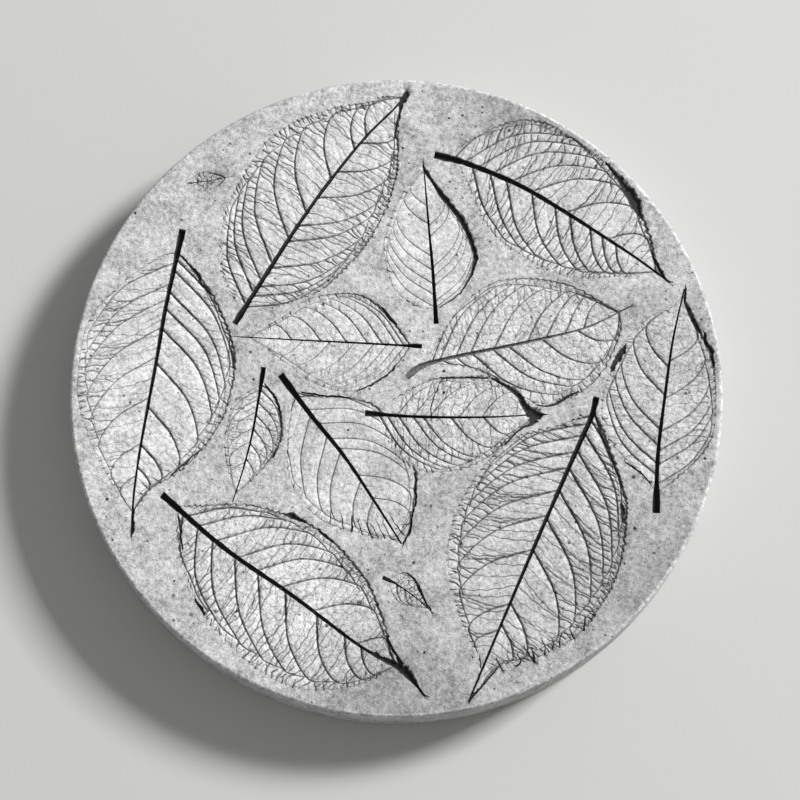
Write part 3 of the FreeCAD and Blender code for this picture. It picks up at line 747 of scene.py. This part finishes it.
for leaf in leaves:
    outline, crack, (rib, sides, crossing) = outlines[leaf.name], cracks[leaf.name], grooves[leaf.name]
    low = np.minimum(outline.min(0), leaf.midrib.min(0)) - BOX_CLEAR
    high = np.maximum(outline.max(0), leaf.midrib.max(0)) + BOX_CLEAR
    near = np.flatnonzero(((plan > low) & (plan < high)).all(1))
    here = plan[near]
    crack_depth, gap, at = groove_depth(here, [np.vstack([crack, crack[:1]])])
    rib_depth, rib_gap = rib_slot(rib, here)
    side_depth, side_gap, _ = groove_depth(here, sides)
    cross_depth, _, _ = groove_depth(here, crossing)

    wall = np.clip(gap / blend(WALL, at[:, 2]), 0, 1) * inside(here, outline)
    slant = np.clip((here - outline.mean(0)) @ DEEP_SIDE / (SLANT_REACH * leaf.size), -1, 1)
    valley = VALLEY_DEPTH * leaf.bold[LEFT] * np.exp(-(np.minimum(rib_gap, side_gap) / VALLEY_REACH) ** 2)
    sunk = leaf.size ** 0.5 * BLADE_DEPTH * (1 + EAST_PRESS * slant) + valley + LEAST_DEPTH
    depth[near] += wall * (sunk - depth[near]) + (wall > 0) * np.maximum(side_depth, cross_depth)
    depth[near] = np.maximum(depth[near], rib_depth + RIB_SINK * (rib_depth > 0))
    depth[near] = np.maximum(depth[near], crack_depth + CRACK_SINK * (crack_depth > 0))

    # dirt and painted shade: the grooves of the blade are darkened with their depth
    vein_dirt_and_shade = (wall > 0) * np.maximum(dirt_and_shade_in(side_depth, *SIDE_DIRT_AND_SHADE), dirt_and_shade_in(cross_depth, *CROSS_DIRT_AND_SHADE))
    dirt_and_shade = np.maximum.reduce([dirt_and_shade_in(rib_depth, RIB_FULL, leaf.dirt_and_shade), vein_dirt_and_shade, dirt_and_shade_in(crack_depth, *CRACK_DIRT_AND_SHADE)])
    groove_dirt_and_shade[near] = np.maximum(groove_dirt_and_shade[near] * (1 - wall), dirt_and_shade)
    blade_mark[near] = np.maximum(blade_mark[near], wall)
    cell_mark[near] += wall * (leaf.cells - cell_mark[near])
    mesh_mark[near] += wall * (leaf.mesh - mesh_mark[near])

gap_depth, _, _ = groove_depth(plan, lifted_edges, GAP_FLOOR)
depth = np.maximum(depth, gap_depth + CRACK_SINK * (gap_depth > 0))
# painted shade: the deep gaps are darkened nearly to black
groove_dirt_and_shade = np.maximum(groove_dirt_and_shade, dirt_and_shade_in(gap_depth, *GAP_PAINTED_SHADE))
print(f"depth from {depth.min():.2f} to {depth.max():.2f} mm")

# %% [markdown]
# ## The stone around the tread
# The rim of the tread is extruded ring by ring: over the rounded arris, down the drafted side, round the base edge
# and in under the stone, where the last ring is closed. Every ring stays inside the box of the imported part.

# %% Model the stone
DRAFT = math.radians(1.5)
BASE_ROUND = 2.0
ARC_STEPS, SIDE_STEPS = 4, 6
UNDERSIDE_RINGS = (0.9, 0.7, 0.45, 0.2)  # shares of the underside's radius
SHARP_ANGLE = math.radians(60)


def ring_profile():
    """Radius and height of each ring, from the arris to the middle of the underside."""
    arc = np.linspace(0, math.pi / 2, ARC_STEPS + 1)[1:]
    top = thickness - EDGE_ROUND
    rings = [(flat_radius + EDGE_ROUND * math.sin(a), top + EDGE_ROUND * math.cos(a)) for a in arc]
    side = np.linspace(top, BASE_ROUND, SIDE_STEPS + 1)[1:]
    rings += [(TREAD_RADIUS + (top - z) * math.tan(DRAFT), z) for z in side]
    base = rings[-1][0] - BASE_ROUND
    rings += [(base + BASE_ROUND * math.cos(a), BASE_ROUND - BASE_ROUND * math.sin(a)) for a in arc]
    return rings + [(base * share, 0.0) for share in UNDERSIDE_RINGS]


tread = bpy.data.meshes.new("stepping_stone")
tread.from_pydata(np.column_stack([plan * MM, (thickness - depth) * MM]).tolist(), [], faces)
bm = bmesh.new()
bm.from_mesh(tread)
rim = [edge for edge in bm.edges if edge.is_boundary]
radius = flat_radius
for next_radius, height in ring_profile():
    ring = bmesh.ops.extrude_edge_only(bm, edges=rim)["geom"]
    rim = [item for item in ring if isinstance(item, bmesh.types.BMEdge) and item.is_boundary]
    corners = [item for item in ring if isinstance(item, bmesh.types.BMVert)]
    bmesh.ops.scale(bm, verts=corners, vec=(next_radius / radius, next_radius / radius, 1))
    for corner in corners:
        corner.co.z = height * MM
    radius = next_radius
bmesh.ops.holes_fill(bm, edges=rim)
bmesh.ops.recalc_face_normals(bm, faces=bm.faces)
bm.to_mesh(tread)
bm.free()
stone = bpy.data.objects.new("stepping_stone_cast", tread)
scene.collection.objects.link(stone)
tread.shade_smooth()
tread.set_sharp_from_angle(angle=SHARP_ANGLE)
stone.modifiers.new("even shading of the flats", "WEIGHTED_NORMAL").keep_sharp = True
print(f"{len(tread.vertices)} points, {sum(len(p.vertices) - 2 for p in tread.polygons)} triangles on the stone")

# %% Mark the grooves' dirt and painted shade, the blades and the tone patches on the mesh
TONE_PATCHES = (  # darker patches of the tone: place, radius and strength; a negative one is a pale patch
    (175, -135, 75, 0.39), (0, -200, 60, 0.38), (180, 35, 50, 0.17), (110, 190, 60, 0.2), (60, 187, 25, 0.14),
    (-150, 5, 50, -0.11), (-65, -125, 50, -0.17), (-55, 115, 45, -0.08), (85, -95, 45, 0.02), (-35, 30, 30, -0.05),
    (-155, 100, 40, -0.06), (22, -88, 25, 0.06), (-175, -65, 55, -0.13), (28, 20, 25, -0.14), (-30, 190, 35, -0.08),
    (48, -58, 25, 0.09), (-70, -162, 35, -0.09), (-95, 33, 6, 0.15), (104, -5, 6, 0.2), (42, 160, 6, 0.22),
    (58, 167, 6, 0.25), (76, 171, 6, 0.25), (94, 170, 6, 0.22), (112, 163, 6, 0.2), (-8, -52, 9, 0.2),
    (-25, -26, 8, 0.14), (-2, -75, 7, 0.12), (0, -42, 6, 0.2), (12, -49, 6, 0.18), (60, -5, 7, 0.12),
    (77, -159, 6, 0.2), (40, -70, 7, 0.12), (137, -74, 4, 0.2), (-117, -134, 5, 0.3), (-30, -105, 6, 0.15),
    (-128, -90, 4, 0.2), (-117, 133, 9, 0.18), (7, -127, 7, 0.12), (110, 60, 7, 0.15), (125, 50, 6, 0.15),
    (-10, 48, 5, 0.15),
)
patch_mark = sum(strength * np.exp(-((plan - (x, y)) ** 2).sum(1) / radius ** 2) for x, y, radius, strength in TONE_PATCHES)
marks = {"groove": groove_dirt_and_shade, "blade": blade_mark, "cells": cell_mark, "mesh": mesh_mark, "tone_patch": patch_mark}
for name, values in marks.items():
    full = np.zeros(len(tread.vertices))
    full[:len(values)] = values
    tread.attributes.new(name, "FLOAT", "POINT").data.foreach_set("value", full.astype(np.float32))
print("marks on the mesh:", ", ".join(marks))

# %% [markdown]
# ## Cast concrete
# Cast concrete is cement and sand: a matt grey surface, mottled where the water left it unevenly, grainy, and pitted
# with small air pores. The leaves made the blades smoother and paler, with a fine mesh of veins and the wider cells
# that they frame, and the grooves are darkened with dirt and with painted shade. Each of these is one map over the
# stone, read in the stone's own coordinates, and they add up to one tone and one relief.

# %% Material helpers
concrete = bpy.data.materials.new("cast_concrete")
concrete.use_nodes = True
nodes, links = concrete.node_tree.nodes, concrete.node_tree.links
coordinates = nodes.new("ShaderNodeTexCoord").outputs["Object"]


def set_inputs(node, inputs):
    """Gives each input of a node a socket to link or a value to hold."""
    for key, value in inputs.items():
        if isinstance(value, bpy.types.NodeSocket):
            links.new(value, node.inputs[key])
        else:
            node.inputs[key].default_value = value


def add_node(kind, inputs, **settings):
    """A shader node with its settings and inputs."""
    node = nodes.new(kind)
    for key, value in settings.items():
        setattr(node, key, value)
    set_inputs(node, inputs)
    return node


def spread(value, low, high, bottom, top, clamp=True):
    """A value stretched from low and high to bottom and top."""
    inputs = {"Value": value, "From Min": low, "From Max": high, "To Min": bottom, "To Max": top}
    return add_node("ShaderNodeMapRange", inputs, clamp=clamp).outputs["Result"]


def calculate(operation, first, second):
    """Two values added, subtracted or multiplied."""
    return add_node("ShaderNodeMath", {0: first, 1: second}, operation=operation).outputs["Value"]


def mark(name):
    """A mark that the mesh carries."""
    return add_node("ShaderNodeAttribute", {}, attribute_name=name).outputs["Fac"]

# %% Clouds, speckle and sand
def noise_map(scale, detail, roughness, swing):
    """A noise over the stone that swings about zero."""
    inputs = {"Vector": coordinates, "Scale": scale, "Detail": detail, "Roughness": roughness}
    return spread(add_node("ShaderNodeTexNoise", inputs).outputs["Fac"], 0.3, 0.7, -swing, swing)


clouds = noise_map(scale=50, detail=4, roughness=0.6, swing=0.11)
speckle = noise_map(scale=360, detail=4, roughness=0.7, swing=0.2)
sand = noise_map(scale=900, detail=2, roughness=0.6, swing=0.09)
print(len(nodes), "nodes with clouds, speckle and sand")

# %% Pores and the fine mesh of the blades
def dots(scale, share, size, blur=0.04):
    """Round dots in cells of a random grid: in which share of the cells, and how large against a cell."""
    grid = add_node("ShaderNodeTexVoronoi", {"Vector": coordinates, "Scale": scale})
    pick = add_node("ShaderNodeSeparateColor", {"Color": grid.outputs["Color"]}).outputs["Red"]
    radius = spread(pick, 1 - share, 1, 0, size, clamp=False)
    return spread(calculate("SUBTRACT", grid.outputs["Distance"], radius), -blur, blur, 1, 0)


def borders(places, scale, breadth):
    """The borders of the cells of a random grid as thin lines."""
    grid = add_node("ShaderNodeTexVoronoi", {"Vector": places, "Scale": scale},
                    feature="DISTANCE_TO_EDGE", voronoi_dimensions="2D")
    return spread(grid.outputs["Distance"], 0, breadth, 1, 0)


pores = calculate("MAXIMUM", dots(scale=90, share=0.3, size=0.12), dots(scale=240, share=0.25, size=0.24))
wander = add_node("ShaderNodeTexNoise", {"Vector": coordinates, "Scale": 150, "Detail": 1}).outputs["Color"]
bent = add_node("ShaderNodeVectorMath", {0: wander, 1: (0.005, 0.005, 0), 2: coordinates},
                operation="MULTIPLY_ADD").outputs["Vector"]
mesh = calculate("MULTIPLY", borders(bent, scale=400, breadth=0.12), mark("mesh"))
cells = calculate("MULTIPLY", borders(bent, scale=215, breadth=0.1), mark("cells"))
print(len(nodes), "nodes with pores, mesh and cells")

# %% Concrete finish
FIELD_TONE, BLADE_LIFT = 0.445, 0.12
PORE_DARK, MESH_DARK, CELL_DARK, DIRT_AND_SHADE_TONE = 0.35, 0.07, 0.26, 0.03
PORE_DEEP, MESH_DEEP, CELL_DEEP = 0.2, 0.06, 0.1
BUMP_DISTANCE, BUMP_STRENGTH = 0.002, 0.35
MATT = 0.9


def less(value, taken, share):
    """A value less a share of another."""
    return calculate("SUBTRACT", value, calculate("MULTIPLY", taken, share))


tone = calculate("ADD", calculate("ADD", clouds, speckle), sand)
tone = calculate("ADD", tone, spread(mark("blade"), 0, 1, FIELD_TONE, FIELD_TONE + BLADE_LIFT))
tone = less(less(less(tone, pores, PORE_DARK), mesh, MESH_DARK), cells, CELL_DARK)
# broad darker patches to the east and south, paler ones to the west, and small dark spots by the prints
tone = calculate("MULTIPLY", tone, spread(mark("tone_patch"), 0, 1, 1, 0, clamp=False))
# dirt and painted shade darken the grooves nearly to black
tone = calculate("MULTIPLY", tone, spread(mark("groove"), 0, 1, 1, DIRT_AND_SHADE_TONE))
relief = calculate("ADD", speckle, sand)
relief = less(less(less(relief, pores, PORE_DEEP), mesh, MESH_DEEP), cells, CELL_DEEP)
bump = add_node("ShaderNodeBump", {"Height": relief, "Distance": BUMP_DISTANCE, "Strength": BUMP_STRENGTH})

set_inputs(nodes["Principled BSDF"], {"Base Color": tone, "Normal": bump.outputs["Normal"], "Roughness": MATT,
                                      "Specular IOR Level": 0.25})
stone.data.materials.append(concrete)

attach(stone, "root")
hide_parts("stepping_stone")
print(len(nodes), "nodes in the concrete")

# %% [markdown]
# ## Studio
# A pale floor, one key light from the right and a soft fill from all round show the prints as low sun does. The
# camera looks down as the picture was taken.

# %% Floor and light
FLOOR_SIZE, FLOOR_COLOUR = 8, (0.5, 0.5, 0.49, 1)
KEY_PLACE, KEY_SIZE, KEY_POWER = Vector((4.6, 2.8, 3.5)), 1.3, 690
FILL_STRENGTH = 0.35
tread_middle = Vector((0, 0, thickness * MM))

bpy.ops.mesh.primitive_plane_add(size=FLOOR_SIZE)
floor = bpy.context.object
floor.name = "floor"
pale = bpy.data.materials.new("pale_floor")
pale.use_nodes = True
set_inputs(pale.node_tree.nodes["Principled BSDF"], {"Base Color": FLOOR_COLOUR, "Roughness": MATT})
floor.data.materials.append(pale)

key = bpy.data.objects.new("key_light", bpy.data.lights.new("key_light", "AREA"))
key.data.energy, key.data.size = KEY_POWER, KEY_SIZE
key.location = KEY_PLACE
key.rotation_euler = (tread_middle - KEY_PLACE).to_track_quat("-Z", "Y").to_euler()
scene.collection.objects.link(key)
world = bpy.data.worlds.new("studio")
world.use_nodes = True
set_inputs(world.node_tree.nodes["Background"], {"Color": (1, 1, 1, 1), "Strength": FILL_STRENGTH})
scene.world = world
print(f"key light {(KEY_PLACE - tread_middle).length:.1f} m away")

# %% Camera
CAMERA_TILT, CAMERA_DISTANCE = math.radians(12.68), 1.4
LENS, SENSOR = 102.97, 36
SHIFT_X, SHIFT_Y = 0.0046, -0.0148  # the stone lies a little off the picture's middle

camera = bpy.data.objects.new("camera", bpy.data.cameras.new("camera"))
camera.data.lens, camera.data.sensor_width = LENS, SENSOR
camera.data.shift_x, camera.data.shift_y = SHIFT_X, SHIFT_Y
camera.location = (0, -CAMERA_DISTANCE * math.sin(CAMERA_TILT),
                   thickness * MM + CAMERA_DISTANCE * math.cos(CAMERA_TILT))
camera.rotation_euler = (CAMERA_TILT, 0, 0)
scene.collection.objects.link(camera)
scene.camera = camera
scene.view_settings.view_transform = "Standard"
print(f"camera {CAMERA_DISTANCE} m away, tilted {math.degrees(CAMERA_TILT):.1f} degrees")
